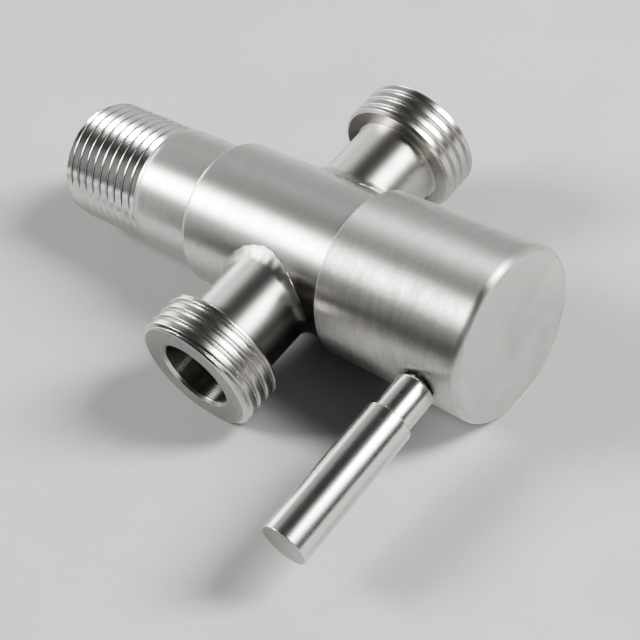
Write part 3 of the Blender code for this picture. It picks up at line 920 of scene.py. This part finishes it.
def dressed_knob():
    """The cap, brushed round its side and flat on its face."""
    knob = build_knob()
    give(knob, steel("knob_steel", cloud=KNOB_CLOUD_SHARE), face_steel("cap_face_steel"))
    paint_faces(
        knob, FLAT, lambda at, normal: at.x > KNOB_FACE_X and normal.x > KNOB_FACE_NORMAL
    )
    return knob


def dressed_lever(end_finish):
    """The lever, polished, with a flat cut end."""
    lever = build_lever()
    give(lever, steel("rod_steel"), end_finish)
    paint_faces(
        lever, FLAT, lambda at, normal: at.y < -LEVER_TIP_Y and abs(normal.y) > END_NORMAL
    )
    return lever


def build_object(nodes):
    """Every detailed piece, with its finish, on its body."""
    end_finish = face_steel("end_steel")
    body = dressed_body()
    left, right = dressed_outlets(end_finish)
    knob = dressed_knob()
    lever = dressed_lever(end_finish)
    for piece, body_name, node in (
        (body, "valve", "valve_body"),
        (left, "valve", "outlet_left"),
        (right, "valve", "outlet_right"),
        (knob, "handle", "handle_knob"),
        (lever, "handle", "lever_rod"),
    ):
        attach(piece, body_name)
        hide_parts(node)
        # light thrown back by the steel would wash out the shadows on the floor
        piece.visible_diffuse = False
    dress_inner(nodes)


def floor_plane():
    """Slopes and height of the surface that touches the cap, the inlet and the left outlet."""
    cap_x = KNOB_FRONT_X - KNOB_EDGE
    across = 0.0
    for _ in range(FLOOR_PASSES):
        stretch = math.sqrt(1.0 + across ** 2)
        along = -(KNOB_FRONT_R - THREAD_R) * stretch / (cap_x - INLET_CHAMFER_END)
        height = -THREAD_R * stretch - along * INLET_CHAMFER_END
        middle = height + along * OUTLET_X
        across = (middle + THREAD_R * math.sqrt(1.0 + along ** 2)) / OUTLET_REST
    return along, across, height - FLOOR_GAP


def flat_object(name, verts):
    """One four-sided face."""
    mesh = bpy.data.meshes.new(name)
    mesh.from_pydata(verts, [], [(0, 1, 2, 3)])
    return add_object(name, mesh)


def build_floor():
    """Pale plain floor under the valve."""
    along, across, height = floor_plane()
    low, high = -FLOOR_HALF, FLOOR_HALF
    corners = [(low, low), (high, low), (high, high), (low, high)]
    floor = flat_object("floor", [(x, y, height * MM + along * x + across * y) for x, y in corners])
    made = Nodes("floor_plaster")
    tone = made.clouds(FLOOR_CLOUD_SCALE, detail=6.0, distortion=0.3)
    made.drive(made.mix(made.remap(tone, FLOOR_RANGE), *FLOOR_TONES), "Base Color")
    made.set(Roughness=0.9, Specular_IOR_Level=0.2)
    give(floor, made.material)


def build_flag():
    """A dark card low in front of the valve, grey at its left end, seen only in reflections."""
    (right, left), (low, high) = CARD_CORNERS, CARD_HEIGHTS
    flag = flat_object("flag", [(*right, low), (*right, high), (*left, high), (*left, low)])
    made = Nodes("flag_cloth")
    share = made.remap(made.split()["X"], CARD_TURNS_GREY)
    made.drive(made.mix(share, *CARD_TONES), "Base Color")
    made.set(Roughness=0.95, Specular_IOR_Level=0.1)
    give(flag, made.material)
    flag.visible_camera = False
    flag.visible_diffuse = False
    flag.visible_shadow = False


def direction(azimuth, elevation):
    """Unit vector towards an azimuth and an elevation in degrees."""
    a, e = math.radians(azimuth), math.radians(elevation)
    return Vector((math.cos(a) * math.cos(e), math.sin(a) * math.cos(e), math.sin(e)))


def area_light(name, azimuth, elevation, distance, size, radiance, color, fills, shines):
    """A soft rectangular light that faces the valve from a direction in degrees."""
    away = direction(azimuth, elevation)
    data = bpy.data.lights.new(name, "AREA")
    data.shape = "RECTANGLE"
    data.size, data.size_y = size
    data.energy = radiance * math.pi * size[0] * size[1]
    data.color = color
    light = add_object(name, data)
    light.location = Vector(LIGHT_AIM) + away * distance
    light.rotation_mode = "QUATERNION"
    light.rotation_quaternion = away.to_track_quat("Z", "Y")
    light.visible_diffuse = fills
    light.visible_glossy = shines


def patch(tree, ray, azimuth, elevation, inner, outer, strength):
    """A soft patch of light in the room, between two angles from a direction in degrees."""
    dot = tree.nodes.new("ShaderNodeVectorMath")
    dot.operation = "DOT_PRODUCT"
    dot.inputs[1].default_value = direction(azimuth, elevation)
    tree.links.new(ray, dot.inputs[0])
    span = tree.nodes.new("ShaderNodeMapRange")
    span.interpolation_type = "SMOOTHSTEP"
    span.inputs["From Min"].default_value = math.cos(math.radians(outer))
    span.inputs["From Max"].default_value = math.cos(math.radians(inner))
    span.inputs["To Max"].default_value = strength
    tree.links.new(dot.outputs["Value"], span.inputs["Value"])
    return span.outputs["Result"]


def build_room():
    """A dim room with soft patches, seen in reflections, and a plain tone behind the floor."""
    world = bpy.data.worlds.new("studio")
    world.use_nodes = True
    tree = world.node_tree
    ray = tree.nodes.new("ShaderNodeTexCoord").outputs["Generated"]
    total = None
    for row in PATCHES:
        add = tree.nodes.new("ShaderNodeMath")
        tree.links.new(patch(tree, ray, *row), add.inputs[0])
        if total is None:
            add.inputs[1].default_value = ROOM_STRENGTH
        else:
            tree.links.new(total, add.inputs[1])
        total = add.outputs[0]
    room = tree.nodes["Background"]
    room.inputs["Color"].default_value = (1.0, 1.0, 1.0, 1.0)
    tree.links.new(total, room.inputs["Strength"])
    backdrop = tree.nodes.new("ShaderNodeBackground")
    backdrop.inputs["Strength"].default_value = BACKDROP_STRENGTH
    seen = tree.nodes.new("ShaderNodeLightPath")
    either = tree.nodes.new("ShaderNodeMixShader")
    tree.links.new(seen.outputs["Is Camera Ray"], either.inputs["Fac"])
    tree.links.new(room.outputs["Background"], either.inputs[1])
    tree.links.new(backdrop.outputs["Background"], either.inputs[2])
    tree.links.new(either.outputs["Shader"], tree.nodes["World Output"].inputs["Surface"])
    # the world belongs to the scene before its ray visibility is set
    bpy.context.scene.world = world
    world.cycles_visibility.diffuse = False


def build_camera():
    """Camera at the photograph's viewing angle, above the cap and the left outlet."""
    data = bpy.data.cameras.new("camera")
    data.sensor_width = CAMERA_SENSOR
    data.lens = CAMERA_LENS
    data.clip_start = CAMERA_CLIP
    camera = add_object("camera", data)
    right, up = Vector(CAMERA_RIGHT), Vector(CAMERA_UP)
    matrix = Matrix((right, up, right.cross(up))).transposed().to_4x4()
    matrix.translation = Vector(CAMERA_AT)
    camera.matrix_world = matrix
    bpy.context.scene.camera = camera


view = bpy.context.scene.view_settings
view.view_transform = "AgX"
view.look = "AgX - High Contrast"
build_object(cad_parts)
build_floor()
build_flag()
for light_name, light in LIGHTS.items():
    area_light(light_name, *light)
build_room()
build_camera()
